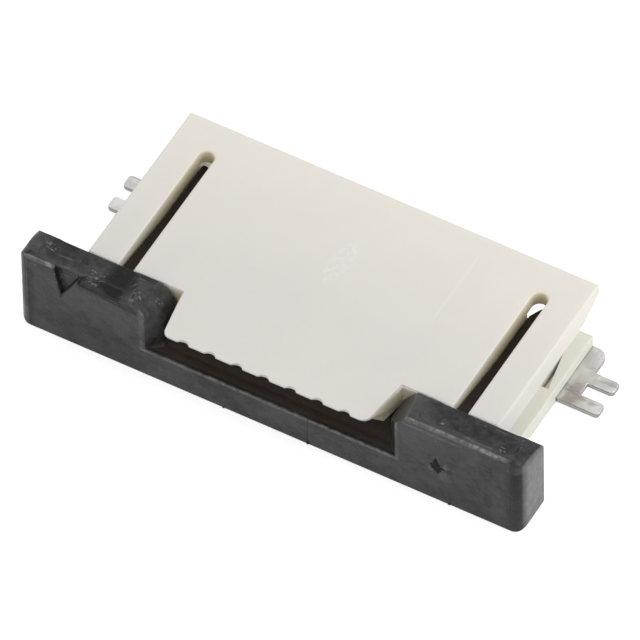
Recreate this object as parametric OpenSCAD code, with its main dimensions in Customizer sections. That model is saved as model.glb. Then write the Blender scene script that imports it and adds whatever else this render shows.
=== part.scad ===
// Right-angle surface-mount connector for a flat flexible cable, with a pull-out locking slider.
// The cable goes in at the front over the slider's bar, and the slider's tongue presses it up
// against the contacts. All lengths are in millimetres.
// Origin: middle of the housing's underside, on the board. +X runs along the row of contacts,
// +Y towards the solder tails, +Z up from the board.

/* [Contacts] */
// Number of contacts
contact_count = 7; // [4:1:12]
// Spacing of the contacts
pitch = 1; // [0.9:0.05:1.25]
// Thickness of the contact strip, along the row
contact_t = 0.25; // [0.15:0.01:0.3]
// Height of the spring beam where it leaves the spine
beam_root_h = 0.34; // [0.2:0.01:0.4]
// Height of the spring beam at its tip
beam_tip_h = 0.18; // [0.12:0.01:0.2]
// Radius of the rounded point that touches the cable
nose_r = 0.15; // [0.1:0.01:0.2]
// Place of the touching point, back from the housing's front face
nose_reach = 1.5; // [0.8:0.05:2]
// Length of the beam in front of the touching point
beam_tip_len = 1; // [0.5:0.05:1.2]
// Height of the beam's turned-up end above the underside of the top wall
beam_tip_rise = 0.12; // [0.05:0.01:0.2]
// Wall between the contact and the top of the housing
roof_t = 0.4; // [0.35:0.01:0.45]
// Height of the contact's lower beam above the board
base_gap = 0.15; // [0.12:0.01:0.18]
// Distance from the housing's rear face to the spine
spine_setback = 0.3; // [0.2:0.05:0.5]
// Length of the spine between the beams and the tail
spine_l = 0.9; // [0.6:0.05:1.1]
// Height of the fixed lower beam
lower_beam_h = 0.25; // [0.2:0.01:0.27]
// Length of the lower beam in front of the spine
lower_beam_len = 3.6; // [2:0.1:4.5]
// Length of the solder tail behind the housing
tail_len = 0.8; // [0.5:0.05:1.2]
// Thickness of the solder tail
tail_t = 0.2; // [0.12:0.01:0.22]
// Width of the leg that comes down from the spine to the tail
tail_root_l = 0.4; // [0.3:0.05:0.5]
// Clearance around a contact in its cavity
contact_clear = 0.03; // [0.02:0.01:0.05]

/* [Cable] */
// Width of the cable beyond its outermost conductors, both sides together
cable_edge = 2; // [1.4:0.1:2.4]
// Thickness of the cable's stiffened end
cable_t = 0.3; // [0.2:0.01:0.35]
// Room beside the cable, each side
cable_clear = 0.1; // [0.05:0.01:0.15]
// How far a closed slider would squeeze the contact's spring
contact_squeeze = 0.12; // [0.05:0.01:0.18]

/* [Housing] */
// Depth of the housing from its front face to its rear face
body_d = 6.8; // [6.4:0.05:7.6]
// Height of the housing
body_h = 2.85; // [2.8:0.01:3]
// Thickness of the top wall
plate_t = 0.9; // [0.85:0.01:0.95]
// Thickness of the floor under the cable
floor_t = 0.5; // [0.48:0.01:0.55]
// Wall between the cable room and the slider's arm
side_wall = 0.9; // [0.8:0.05:1.2]
// Width of the channel for the slider's arm
channel_w = 1.5; // [1.4:0.05:1.8]
// Width of the slot over the arm
slot_w = 0.55; // [0.5:0.01:0.6]
// Distance from the slot's rounded end to the rear face
slot_end_wall = 1.22; // [1.1:0.02:1.4]
// Width of the outer leg
leg_w = 1.15; // [1.1:0.05:1.5]
// Depth of the groove in the leg's outer side
leg_groove = 0.5; // [0.3:0.05:0.55]
// Height of the foot below that groove
foot_h = 0.7; // [0.6:0.02:0.9]
// Distance from the leg's rear end to the rear face
leg_setback = 0.45; // [0.2:0.05:0.6]
// Length of the floor under the slider's arm
channel_floor_l = 5.1; // [4.9:0.05:5.2]
// Rise of the slanted underside at the rear corners
corner_rise = 0.5; // [0.2:0.05:0.6]
// Length of that slanted underside
corner_slant = 1.1; // [0.6:0.05:1.2]
// Height of the relief over the channel's rear end
relief_rise = 0.31; // [0.2:0.01:0.4]
// Length of that relief
relief_l = 1.8; // [1.5:0.05:2]
// Radius of the housing's front outer corners
corner_r = 0.1; // [0.05:0.01:0.3]

/* [Cable mouth] */
// Reach of the lip in front of the housing's front face
lip_len = 1.88; // [1.7:0.02:2]
// Thickness of the lip at its edge
lip_edge_t = 0.06; // [0.05:0.01:0.1]
// Length of the thin part behind that edge
lip_thin_l = 0.35; // [0.3:0.05:0.5]
// Thickness where the thin part ends
lip_thin_t = 0.2; // [0.15:0.01:0.25]
// Length of the slope under the lip, from the thin part to the full wall
lip_slope_l = 0.6; // [0.55:0.05:0.8]
// How much narrower the lip is at its edge, each side
lip_taper = 0.34; // [0.1:0.02:0.4]
// Radius of the lip's corners
lip_corner_r = 0.3; // [0.2:0.05:0.5]
// Radius of the notch in the lip over each contact
notch_r = 0.23; // [0.15:0.01:0.25]
// Depth of that notch
notch_depth = 0.13; // [0.08:0.01:0.2]
// Depth of the cable room behind the front face
room_d = 4.6; // [4.5:0.05:4.9]

/* [Slider] */
// Front-to-back size of the finger ears
ear_d = 1.5; // [1.4:0.02:1.6]
// Height of the ears at the back
ear_h = 3.04; // [2.9:0.01:3.2]
// Height of the ears' front lip
ear_lip_h = 3.5; // [3.35:0.01:3.6]
// Reach of an ear beyond the housing's side
ear_over = 1.75; // [1.2:0.05:2.2]
// Radius of the ears' upright outer front corners
ear_corner_r = 0.45; // [0.2:0.05:0.6]
// Thickness of the ears' front lip
ear_lip_t = 0.18; // [0.14:0.01:0.24]
// Rounding of the ears' long edges
ear_edge_r = 0.06; // [0.04:0.01:0.1]
// Rounding of the ears' outer bottom edges
ear_foot_r = 0.3; // [0.1:0.05:0.4]
// Radius of the scoop behind the ears' front lip
scoop_r = 0.6; // [0.55:0.01:0.65]
// Depth of the scoop's floor below the ears' front lip
scoop_depth = 0.49; // [0.48:0.01:0.52]
// Rim left between the scoop and the slanted inner edge
scoop_rim = 0.1; // [0.05:0.01:0.3]
// Rim left between the scoop and the ears' outer side
scoop_end = 0.42; // [0.3:0.02:0.6]
// Gap between the lip and the ears, each side
ear_side_clear = 0.12; // [0.08:0.01:0.2]
// Width of the slanted inner edge of the ears' tops
bevel_w = 0.88; // [0.7:0.02:1]
// Height of that slanted edge
bevel_fall = 1.15; // [0.8:0.05:1.2]
// How much wider the cable mouth is than the cable guide, each side
funnel_w = 0.5; // [0.3:0.02:0.6]
// Depth of the funnel
funnel_d = 0.6; // [0.4:0.05:0.8]
// Height of the bar across the front
bar_h = 1.28; // [1.2:0.01:1.35]
// Thickness of the bar's front rim at its top
bar_rim = 0.06; // [0.04:0.01:0.15]
// Length of the ramp behind that rim, down to the tongue
bar_ramp = 0.75; // [0.6:0.05:0.9]
// Thickness of the tongue under the cable
tongue_t = 0.34; // [0.3:0.01:0.38]
// Room beside the tongue, each side
tongue_side_clear = 0.15; // [0.1:0.01:0.2]
// Length of the tongue behind the ears
tongue_len = 4.3; // [3.8:0.05:4.4]
// Length of the tapered end of the tongue
tongue_taper = 0.9; // [0.5:0.05:1.2]
// Gap between the closed slider and the housing's front face
closed_gap = 0.1; // [0.05:0.01:0.15]
// Sliding clearance between the slider and the housing
slide_clear = 0.07; // [0.05:0.01:0.1]

/* [Slider arms] */
// Length of the arms behind the ears
arm_len = 5.25; // [5.1:0.05:5.3]
// Height of the rib that rises into the slot, over the housing's channel
rib_rise = 0.28; // [0.2:0.01:0.4]
// Further rise of the rib at its root
rib_root_rise = 0.37; // [0.2:0.01:0.5]
// Length of the ramp from the root to the level rib
rib_ramp = 3; // [2:0.1:3.5]
// Reach of the rib's pointed nose beyond the arm's end
rib_nose = 0.3; // [0.2:0.02:0.35]
// Length of the slanted inner side of that nose
rib_nose_l = 0.45; // [0.3:0.05:0.6]
// Width of the nose at its tip
rib_nose_w = 0.2; // [0.15:0.01:0.3]
// Reach of the barb that holds the open slider
barb_reach = 0.2; // [0.15:0.01:0.25]
// Length of the barb
barb_len = 0.6; // [0.5:0.05:0.7]
// Height of the barb
barb_h = 0.7; // [0.5:0.05:0.8]
// How far the slider pulls out
slider_travel = 2; // [1.5:0.05:2.2]

/* [Pin one mark] */
// Width of the triangular recess on the left ear
mark_w = 1; // [0.6:0.05:1.2]
// Height of the recess
mark_h = 1.3; // [0.7:0.05:1.4]
// Depth of the recess
mark_depth = 0.25; // [0.1:0.01:0.35]
// Distance from the ear's outer side to the mark's near corner
mark_inset = 1.4; // [1:0.05:2]
// Drop of the low part of the left ear's front lip, below the lip's top
low_lip_drop = 0.36; // [0.3:0.01:0.4]
// Length of the rise at the low part's inner end
low_lip_end = 0.7; // [0.4:0.05:0.9]
// Depth of the groove right behind the low part
low_lip_groove = 0.17; // [0.05:0.01:0.2]

/* [Fitting nails] */
// Thickness of the sheet metal
nail_t = 0.2; // [0.15:0.01:0.25]
// Length of the foot along the side of the housing
nail_l = 2.52; // [2.3:0.02:2.7]
// Reach of the foot's plate beyond the leg
nail_plate = 0.6; // [0.4:0.02:0.8]
// Reach of the prongs beyond the leg
nail_prong = 1.54; // [1.2:0.02:1.8]
// Width of a prong
prong_w = 0.52; // [0.4:0.01:0.54]
// Spacing of the two prongs
prong_pitch = 1.03; // [0.9:0.01:1.1]
// Radius of the foot's rear corner
nail_corner_r = 0.4; // [0.2:0.02:0.5]
// Radius of the prongs' corners
prong_r = 0.14; // [0.05:0.01:0.19]
// Height of the blade pressed into the leg
blade_h = 1.5; // [1:0.05:1.7]
// Length of the blade
blade_l = 1.8; // [1.4:0.05:1.9]
// Height of the small lug that shows in the leg's pocket
lug_h = 0.45; // [0.35:0.01:0.5]
// Length of the lug
lug_l = 1.1; // [0.8:0.05:1.2]
// Length of the wedge-shaped pocket in front of and above the lug
pocket_l = 1.45; // [1.3:0.05:1.6]
// Width of that pocket
pocket_w = 0.28; // [0.25:0.01:0.35]
// Distance from the nail's front edge to the pocket's front end
pocket_lead = 0.15; // [0.1:0.01:0.25]
// Clearance around the nail in the leg
nail_clear = 0.02; // [0.01:0.01:0.04]

/* [Hidden] */
$fn = 48;
eps = 0.01;

// Widths, from the middle outwards
row_w = (contact_count - 1) * pitch;
guide_x = (row_w + cable_edge) / 2 + cable_clear;
block_x = guide_x + side_wall;
leg_in_x = block_x + channel_w;
body_x = leg_in_x + leg_w;
slot_in_x = leg_in_x - slot_w;
web_x = body_x - leg_groove;
ear_x = body_x + ear_over;

// Depths, front to rear
front_y = -body_d / 2;
rear_y = body_d / 2;
lip_y = front_y - lip_len;
ear_back_y = front_y - closed_gap;
ear_front_y = ear_back_y - ear_d;
stop_y = front_y + room_d;
leg_rear_y = rear_y - leg_setback;
slot_end_y = rear_y - slot_end_wall;
channel_end_y = front_y + channel_floor_l;
arm_end_y = ear_back_y + arm_len;
tongue_end_y = ear_back_y + tongue_len;

// Heights, from the board upwards
plate_z = body_h - plate_t;
tongue_z = floor_t + slide_clear;
tongue_top_z = tongue_z + tongue_t;
nose_z = tongue_top_z + cable_t - contact_squeeze;
arm_z = floor_t + slide_clear;
arm_top_z = plate_z - slide_clear;
rib_top_z = plate_z + rib_rise;

// Contact levels and places
groove_top_z = body_h - roof_t;
beam_top_z = groove_top_z - contact_clear;
spine_back_y = rear_y - spine_setback;
spine_front_y = spine_back_y - spine_l;
tail_root_y = spine_back_y - tail_root_l;
lower_tip_y = spine_front_y - lower_beam_len;
nose_y = front_y + nose_reach;
tail_end_y = rear_y + tail_len;

// Slider's inner ear wall and its slanted upper edge
ear_in_x = guide_x + ear_side_clear;
bevel_top_x = ear_in_x + bevel_w;
bevel_low_z = ear_lip_h - bevel_fall;

// Nail places: the foot starts a little behind the middle and ends with the leg
nail_rear_y = leg_rear_y;
nail_front_y = nail_rear_y - nail_l;
blade_x = (leg_in_x + web_x - nail_t) / 2;
blade_y = (nail_front_y + nail_rear_y - blade_l) / 2;
blade_rear_y = blade_y + blade_l;
lug_x = web_x + nail_clear;
lug_y = nail_front_y;
pocket_y = lug_y - pocket_lead;

housing_color = [0.86, 0.84, 0.80];
slider_color = [0.16, 0.16, 0.17];
metal_color = [0.72, 0.72, 0.73];

// Copies its children to both ends of the connector
module both_sides() {
    children();
    mirror([1, 0, 0]) children();
}

// Extrudes a (Y, Z) outline from x0 to x1
module along_x(x0, x1) {
    translate([x0, 0, 0])
        rotate([90, 0, 90])
            linear_extrude(x1 - x0) children();
}

// Extrudes an (X, Z) outline from y0 to y1
module along_y(y0, y1) {
    translate([0, y1, 0])
        rotate([90, 0, 0])
            linear_extrude(y1 - y0) children();
}

// Box given by its lowest and highest corners
module block(low, high) {
    translate(low) cube(high - low);
}

// Rectangle given by its lowest and highest corners
module rect(low, high) {
    translate(low) square(high - low);
}

// The spandrel outside a rounded corner: taken away, it rounds the corner at the origin
// that the quadrant [sx, sy] points away from
module corner_spandrel(r, sx, sy) {
    scale_x = sx > 0 ? 0 : 1;
    scale_y = sy > 0 ? 0 : 1;
    mirror([scale_x, 0])
        mirror([0, scale_y])
            difference() {
                translate([-r, -r]) square(r + eps);
                translate([-r, -r]) circle(r);
            }
}

// ---- Contacts ----

// Side view of one contact: spring beam over the cable, fixed beam under it, spine and tail
module contact_outline() {
    beam_low_z = beam_top_z - beam_root_h;
    tip_y = nose_y - beam_tip_len;
    tip_top_z = plate_z + beam_tip_rise;
    rect([spine_front_y, base_gap], [spine_back_y, beam_top_z]);
    polygon([
        [spine_front_y + eps, beam_low_z],
        [spine_front_y + eps, beam_top_z],
        [nose_y, nose_z + nose_r + beam_tip_h],
        [tip_y, tip_top_z],
        [tip_y, tip_top_z - beam_tip_h],
        [nose_y, nose_z + nose_r]
    ]);
    translate([nose_y, nose_z + nose_r]) circle(nose_r);
    polygon([
        [spine_front_y + eps, base_gap],
        [spine_front_y + eps, base_gap + lower_beam_h],
        [lower_tip_y + lower_beam_h, base_gap + lower_beam_h],
        [lower_tip_y, base_gap + lower_beam_h / 2],
        [lower_tip_y, base_gap]
    ]);
    rect([tail_root_y, 0], [spine_back_y, base_gap + eps]);
    rect([tail_root_y, 0], [tail_end_y, tail_t]);
}

// One contact, stamped from strip and standing on edge
module contact(place) {
    x = (place - (contact_count + 1) / 2) * pitch;
    color(metal_color)
        along_x(x - contact_t / 2, x + contact_t / 2) contact_outline();
}

// Room for one contact: open at the rear face, where the contact is pushed in
module contact_cavity() {
    w = contact_t / 2 + contact_clear;
    along_x(-w, w) {
        rect([lip_y - eps, plate_z - eps], [stop_y, groove_top_z]);
        rect([lower_tip_y - contact_clear, base_gap - contact_clear], [stop_y, floor_t + eps]);
        rect([stop_y - eps, base_gap - contact_clear], [rear_y + eps, groove_top_z]);
        rect([tail_root_y - contact_clear, -eps], [rear_y + eps, base_gap]);
    }
}

// ---- Housing ----

// Right half of the tapering lip, with its rounded corner
module half_lip() {
    side_l = norm([lip_len, lip_taper]);
    corner_x = guide_x - lip_taper + lip_corner_r * (lip_taper - side_l) / lip_len;
    corner_y = lip_y + lip_corner_r;
    polygon([
        [-eps, front_y + eps], [-eps, lip_y], [corner_x, lip_y],
        [corner_x + lip_corner_r * lip_len / side_l, corner_y - lip_corner_r * lip_taper / side_l],
        [guide_x, front_y], [guide_x, front_y + eps]
    ]);
    translate([corner_x, corner_y]) circle(lip_corner_r);
}

// Top view of the top wall, with the lip that reaches over the slider's bar
module plate_outline() {
    difference() {
        union() {
            rect([-body_x, front_y], [body_x, rear_y]);
            both_sides() half_lip();
        }
        both_sides() translate([body_x, front_y]) corner_spandrel(corner_r, 1, -1);
        for (i = [0:contact_count - 1])
            translate([i * pitch - row_w / 2, lip_y + notch_depth - notch_r]) circle(notch_r);
    }
}

// Through slot over a slider arm, open at the front and round at the rear
module arm_slot() {
    mid_x = (slot_in_x + leg_in_x) / 2;
    rect([slot_in_x, lip_y], [leg_in_x, slot_end_y - slot_w / 2]);
    translate([mid_x, slot_end_y - slot_w / 2]) circle(slot_w / 2);
}

// Top wall: lip with a slanted underside, slots for the arms, slanted rear corners
module top_wall() {
    thin_y = lip_y + lip_thin_l;
    difference() {
        translate([0, 0, plate_z]) linear_extrude(plate_t)
            difference() {
                plate_outline();
                both_sides() arm_slot();
            }
        along_x(-body_x, body_x)
            polygon([
                [lip_y - eps, plate_z - eps], [thin_y + lip_slope_l, plate_z - eps],
                [thin_y, body_h - lip_thin_t], [lip_y, body_h - lip_edge_t],
                [lip_y - eps, body_h - lip_edge_t]
            ]);
        both_sides() {
            along_x(leg_in_x - eps, body_x + eps)
                polygon([
                    [rear_y - corner_slant, plate_z - eps], [rear_y + eps, plate_z - eps],
                    [rear_y + eps, plate_z + corner_rise], [rear_y, plate_z + corner_rise]
                ]);
            along_x(block_x, leg_in_x)
                polygon([
                    [rear_y - relief_l, plate_z - eps], [rear_y + eps, plate_z - eps],
                    [rear_y + eps, plate_z + corner_rise], [rear_y, plate_z + corner_rise],
                    [rear_y - corner_slant, plate_z + relief_rise],
                    [rear_y - relief_l, plate_z + relief_rise]
                ]);
        }
    }
}

// Outer leg on the right: web, foot and the room for the fitting nail
module leg() {
    difference() {
        union() {
            block([leg_in_x, front_y, 0], [web_x, leg_rear_y, plate_z + corner_rise / 2]);
            block([leg_in_x, front_y, 0], [body_x, leg_rear_y, foot_h]);
        }
        nail_room();
    }
}

// Room for the fitting nail: under the foot, up into the web, and the wedge-shaped pocket
module nail_room() {
    c = nail_clear;
    block([blade_x - c, nail_front_y - c, -eps], [body_x + eps, leg_rear_y + eps, nail_t + c]);
    block([blade_x - c, blade_y - c, 0], [blade_x + nail_t + c, blade_rear_y + c, blade_h + c]);
    block([lug_x - c, lug_y - c, 0], [lug_x + nail_t + c, lug_y + lug_l + c, lug_h + c]);
    translate([0, 0, lug_h]) linear_extrude(foot_h)
        polygon([
            [web_x, pocket_y], [web_x + pocket_w, pocket_y + nail_clear],
            [web_x, pocket_y + pocket_l]
        ]);
}

// Lower block between the arm channels, with the cable room
module contact_block() {
    difference() {
        block([-block_x, front_y, 0], [block_x, rear_y, plate_z + eps]);
        block([-guide_x, front_y - eps, floor_t], [guide_x, stop_y, plate_z + 2 * eps]);
        both_sides() barb_room();
    }
}

// Recess in the block's side in which the slider's barb travels
module barb_room() {
    barb_front_y = arm_end_y - barb_len;
    block([block_x - barb_reach - slide_clear, barb_front_y - slider_travel - slide_clear, floor_t],
        [block_x + eps, rear_y + eps, arm_z + barb_h + slide_clear]);
}

module housing() {
    color(housing_color)
        difference() {
            union() {
                top_wall();
                contact_block();
                both_sides() {
                    leg();
                    block([block_x - eps, front_y, 0], [leg_in_x + eps, channel_end_y, floor_t]);
                }
            }
            for (i = [0:contact_count - 1])
                translate([i * pitch - row_w / 2, 0, 0]) contact_cavity();
        }
}

// ---- Slider ----

// Top view of the right ear: cable funnel inside, rounded front corner outside
module ear_plan() {
    difference() {
        polygon([
            [ear_in_x + funnel_w, ear_front_y], [ear_x, ear_front_y], [ear_x, ear_back_y],
            [ear_in_x, ear_back_y], [ear_in_x, ear_front_y + funnel_d]
        ]);
        translate([ear_x, ear_front_y]) corner_spandrel(ear_corner_r, 1, -1);
    }
}

// Front view of the right ear: slanted inner top edge, rounded outer top corner
module ear_front() {
    difference() {
        polygon([
            [ear_in_x, 0], [ear_x, 0], [ear_x, ear_lip_h], [bevel_top_x, ear_lip_h],
            [ear_in_x, bevel_low_z]
        ]);
        translate([ear_x, ear_lip_h]) corner_spandrel(ear_lip_h - ear_h, 1, 1);
        translate([ear_x, 0]) corner_spandrel(ear_foot_r, 1, -1);
    }
}

// Side view of an ear: high front edge, top sloping down to the back
module ear_side() {
    difference() {
        polygon([
            [ear_front_y, 0], [ear_back_y, 0], [ear_back_y, ear_h],
            [ear_front_y + ear_lip_t, ear_lip_h], [ear_front_y, ear_lip_h]
        ]);
        translate([ear_front_y, ear_lip_h]) corner_spandrel(ear_edge_r, -1, 1);
    }
}

// Scoop behind the front lip of the right ear, open to the back, with rounded ends
module scoop() {
    x0 = bevel_top_x + scoop_rim + scoop_r;
    x1 = ear_x - scoop_end - scoop_r;
    y = ear_front_y + ear_lip_t + sqrt(scoop_r * scoop_r - (scoop_r - scoop_depth) ^ 2);
    z = ear_lip_h - scoop_depth + scoop_r;
    translate([x0, y, z]) rotate([0, 90, 0]) cylinder(h = x1 - x0, r = scoop_r);
    block([x0, y, z - scoop_r], [x1, ear_back_y + eps, z]);
    for (x = [x0, x1])
        translate([x, y, z]) {
            sphere(scoop_r);
            rotate([-90, 0, 0]) cylinder(h = ear_d, r = scoop_r);
        }
}

// Right finger ear
module ear() {
    difference() {
        intersection() {
            linear_extrude(ear_lip_h) ear_plan();
            along_y(ear_front_y, ear_back_y) ear_front();
            along_x(0, ear_x) ear_side();
        }
        scoop();
    }
}

// Bar across the front and the tongue that lies under the cable
module bar_and_tongue() {
    half = ear_in_x + funnel_w;
    tongue_x = guide_x - tongue_side_clear;
    along_x(-half, half)
        polygon([
            [ear_front_y, 0], [ear_back_y, 0], [ear_back_y, tongue_top_z],
            [ear_front_y + bar_rim + bar_ramp, tongue_top_z], [ear_front_y + bar_rim, bar_h],
            [ear_front_y, bar_h]
        ]);
    along_x(-tongue_x, tongue_x)
        polygon([
            [ear_back_y - eps, tongue_z], [tongue_end_y, tongue_z],
            [tongue_end_y, tongue_z + tongue_t / 2], [tongue_end_y - tongue_taper, tongue_top_z],
            [ear_back_y - eps, tongue_top_z]
        ]);
}

// Top view of the rib, with its pointed nose
module rib_plan() {
    in_x = slot_in_x + slide_clear;
    out_x = leg_in_x - slide_clear;
    nose_end_y = arm_end_y + rib_nose;
    polygon([
        [in_x, ear_back_y - eps], [out_x, ear_back_y - eps], [out_x, nose_end_y],
        [out_x - rib_nose_w, nose_end_y], [in_x, nose_end_y - rib_nose_l]
    ]);
}

// Right arm: runs under the top wall, with a rib in the slot and a barb at its end
module arm() {
    x0 = block_x + slide_clear;
    x1 = leg_in_x - slide_clear;
    block([x0, ear_back_y - eps, arm_z], [x1, arm_end_y, arm_top_z]);
    block([block_x - barb_reach, arm_end_y - barb_len, arm_z],
        [x0 + eps, arm_end_y, arm_z + barb_h]);
    intersection() {
        translate([0, 0, arm_z]) linear_extrude(ear_h) rib_plan();
        along_x(x0, x1 + eps)
            polygon([
                [ear_back_y - eps, arm_z - eps], [arm_end_y + rib_nose + eps, arm_z - eps],
                [arm_end_y + rib_nose + eps, rib_top_z], [ear_back_y + rib_ramp, rib_top_z],
                [ear_back_y - eps, rib_top_z + rib_root_rise]
            ]);
    }
}

// Triangular mark on the left ear that shows the end of contact one
module pin_one_mark() {
    x = -ear_x + mark_inset;
    along_y(ear_front_y - eps, ear_front_y + mark_depth)
        polygon([
            [x, ear_lip_h + eps], [x + mark_w, ear_lip_h + eps], [x + mark_w / 4, ear_lip_h - mark_h]
        ]);
}

// Low part of the left ear's front lip, from the mark to the slanted inner edge
module low_lip() {
    x0 = -ear_x + mark_inset + mark_w * 0.9;
    x1 = -bevel_top_x;
    low_z = ear_lip_h - low_lip_drop;
    end_y = ear_front_y + scoop_r;
    intersection() {
        along_x(x0, x1)
            polygon([
                [ear_front_y - eps, ear_lip_h + eps], [ear_front_y - eps, low_z],
                [ear_front_y + ear_edge_r, low_z],
                [ear_front_y + ear_lip_t, low_z - low_lip_groove],
                [end_y, low_z - low_lip_groove / 2], [end_y, ear_lip_h + eps]
            ]);
        along_y(ear_front_y - eps, end_y)
            polygon([
                [x0, ear_lip_h + eps], [x0, ear_h - scoop_depth], [x1 - low_lip_end, low_z - low_lip_groove],
                [x1, ear_lip_h + eps]
            ]);
    }
}

module slider() {
    color(slider_color)
        difference() {
            union() {
                both_sides() {
                    ear();
                    arm();
                }
                bar_and_tongue();
            }
            pin_one_mark();
            low_lip();
        }
}

// ---- Fitting nails ----

// Top view of the right nail's foot: plate with a rounded rear corner and two prongs
module nail_foot() {
    plate_x = body_x + nail_plate;
    tip_x = body_x + nail_prong;
    difference() {
        rect([blade_x, nail_front_y], [plate_x, nail_rear_y]);
        translate([plate_x, nail_rear_y]) corner_spandrel(nail_corner_r, 1, 1);
    }
    for (i = [0, 1])
        translate([0, nail_front_y + i * prong_pitch])
            difference() {
                rect([plate_x - eps, 0], [tip_x, prong_w]);
                translate([tip_x, 0]) corner_spandrel(prong_r, 1, -1);
                translate([tip_x, prong_w]) corner_spandrel(prong_r, 1, 1);
            }
}

// Right nail: soldered foot outside, blade and lug inside the leg
module nail() {
    color(metal_color) {
        linear_extrude(nail_t) nail_foot();
        block([blade_x, blade_y, 0], [blade_x + nail_t, blade_rear_y, blade_h]);
        block([lug_x, lug_y, 0], [lug_x + nail_t, lug_y + lug_l, lug_h]);
    }
}

module fitting_nail_right() {
    nail();
}

module fitting_nail_left() {
    mirror([1, 0, 0]) nail();
}

housing();
slider();
fitting_nail_left();
fitting_nail_right();
for (i = [1:contact_count])
    contact(i);
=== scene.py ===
"""Looks of a right-angle connector for a flat flexible cable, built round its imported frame."""
import functools
import math

import bmesh
import bpy
import numpy as np
from bpy.props import FloatProperty, FloatVectorProperty, IntProperty, PointerProperty
from mathutils import Matrix, Vector


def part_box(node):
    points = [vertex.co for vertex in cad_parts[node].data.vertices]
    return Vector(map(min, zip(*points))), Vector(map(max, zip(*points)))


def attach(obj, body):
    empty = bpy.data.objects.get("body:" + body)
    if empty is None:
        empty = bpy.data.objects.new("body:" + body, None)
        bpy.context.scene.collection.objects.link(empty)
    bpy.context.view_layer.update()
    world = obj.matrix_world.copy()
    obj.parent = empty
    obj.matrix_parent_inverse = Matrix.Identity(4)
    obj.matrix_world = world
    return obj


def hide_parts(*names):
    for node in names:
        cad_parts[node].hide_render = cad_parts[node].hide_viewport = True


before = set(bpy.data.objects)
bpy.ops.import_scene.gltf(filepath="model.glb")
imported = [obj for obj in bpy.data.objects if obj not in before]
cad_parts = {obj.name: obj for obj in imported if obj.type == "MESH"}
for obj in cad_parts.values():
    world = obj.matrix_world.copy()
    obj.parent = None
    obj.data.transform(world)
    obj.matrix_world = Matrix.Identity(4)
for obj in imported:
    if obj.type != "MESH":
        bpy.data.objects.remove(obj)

bl_info = {
    "name": "Flat cable connector looks",
    "version": (1, 0, 0),
    "blender": (4, 5, 0),
    "location": "View3D > Sidebar > Connector",
    "description": "Moulded, stamped and stage finishes of a flat cable connector",
    "category": "Object",
}

MM = 0.001
SHARP = math.radians(28)         # edges that turn more than this are rounded
FLAT = math.radians(0.5)         # faces that turn less than this are joined
MERGE_WITHIN = 0.0005 * MM
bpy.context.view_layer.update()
HOUSING_LOW, HOUSING_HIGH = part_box("housing")
SLIDER_LOW, SLIDER_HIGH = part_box("slider")
NAILS = ("fitting_nail_left", "fitting_nail_right")
CONTACTS = tuple(sorted(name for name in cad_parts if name.startswith("contact_")))

# ---- Places on the mouldings ----

FRONT_FACE_Y = -3.4 * MM        # the housing's front face, under its lip
LIP_REACH = 0.6 * MM            # the lip's thin end
SLOT_X = 6.225 * MM             # middle of a slot
SLOT_END_Y = 1.905 * MM         # middle of the round at a slot's closed end
WITNESS_X = 1.46 * MM           # the mould line on the bar
EAR_X = 4.7 * MM                # inner side of the slider's ears
SCOOP_ENDS = (          # the scoops' round ends along x
    (5.15 * MM, 5.82 * MM), (8.36 * MM, 9.0 * MM))
SCOOP_Y = (-4.85 * MM, -3.52 * MM)
SCOOP_FLOOR_Z = 3.03 * MM
LOW_LIP_X = (-7.3 * MM, -4.9 * MM)              # the low lip of the left ear
LOW_LIP_Z = 2.85 * MM
FLECKED_SPOTS = (       # x, y and reach of each spot on the slider's top, in millimetres
    (-6.75, -4.35, 0.5), (-8.65, -3.92, 0.34), (-5.07, -4.61, 0.24), (-4.52, -4.12, 0.2),
    (6.1, -4.2, 0.2), (8.3, -4.3, 0.24))
GATE_X, GATE_Z = 6.24 * MM, 1.67 * MM
GATE_CORE = 0.2                 # radius of the torn gate's core, in millimetres
GATE_DEPTHS = (0.03 * MM, 0.05 * MM)            # how far it stands out and sinks in
TEARS = (               # angle in degrees, reach in millimetres and width in radians
    (97, 0.23, 0.3), (44, 0.18, 0.22), (-4, 0.14, 0.22), (-80, 0.08, 0.4), (172, 0.03, 0.35))
GATE_SMUTS = (          # x, z, reach and strength of the dark spots round the torn gate
    (6.72, 1.66, 0.15, 0.95), (6.78, 2.08, 0.2, 0.55), (6.02, 2.14, 0.1, 0.5))
GATE_SMEARS = (         # x, z, reach and strength of the pale smears round the torn gate
    (6.6, 1.84, 0.15, 0.55), (6.52, 1.32, 0.32, 0.3), (6.02, 1.5, 0.14, 0.35))
NUBS = (                # name and x of each flash nub
    ("flash_nub_ear", 6.7), ("flash_nub_bar", -1.7), ("flash_nub_line", 1.44))
NUB_RADIUS = 0.035 * MM
NUB_Z = 0.06 * MM
NUB_DEPTHS = (0.045 * MM, 0.05 * MM)

# ---- Tones of small marks, painted light and painted shade ----

# Painted shade in the legs' pockets.
POCKET_SHADE_TONE = (0.1, 0.09, 0.07)
SCUFF_TONE = (0.87, 0.865, 0.85)
HAIR_TONE = (0.88, 0.86, 0.8)
ROOT_SHADE_SHARE = 0.45                # painted shade: the foot of the lip's root keeps this share of its colour
MOTTLE_LIFT = 0.053             # the slider's mottling is this much lighter than its black
SHADED_TONE = (0.004, 0.004, 0.004)
# painted shade on the arms inside the slots
ARM_SHADE_TONE = (0.02, 0.013, 0.009)
FLECK_TONE = (0.27, 0.275, 0.3)
# painted light on the right ear's front
EAR_LIGHT_TONE = (0.105, 0.106, 0.12)
SMEAR_TONE = (0.16, 0.16, 0.16)
SMUT_TONE = (0.006, 0.006, 0.006)
LINE_TONE = (0.003, 0.003, 0.003)
TORN_FLECK_TONE = (0.09, 0.09, 0.09)
STREAK_TONE = (0.3, 0.3, 0.3)
DULL_TIN = 0.68                 # the tin's dull places keep this share of its colour


# ---- Sizes and colours that a user would change ----


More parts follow.
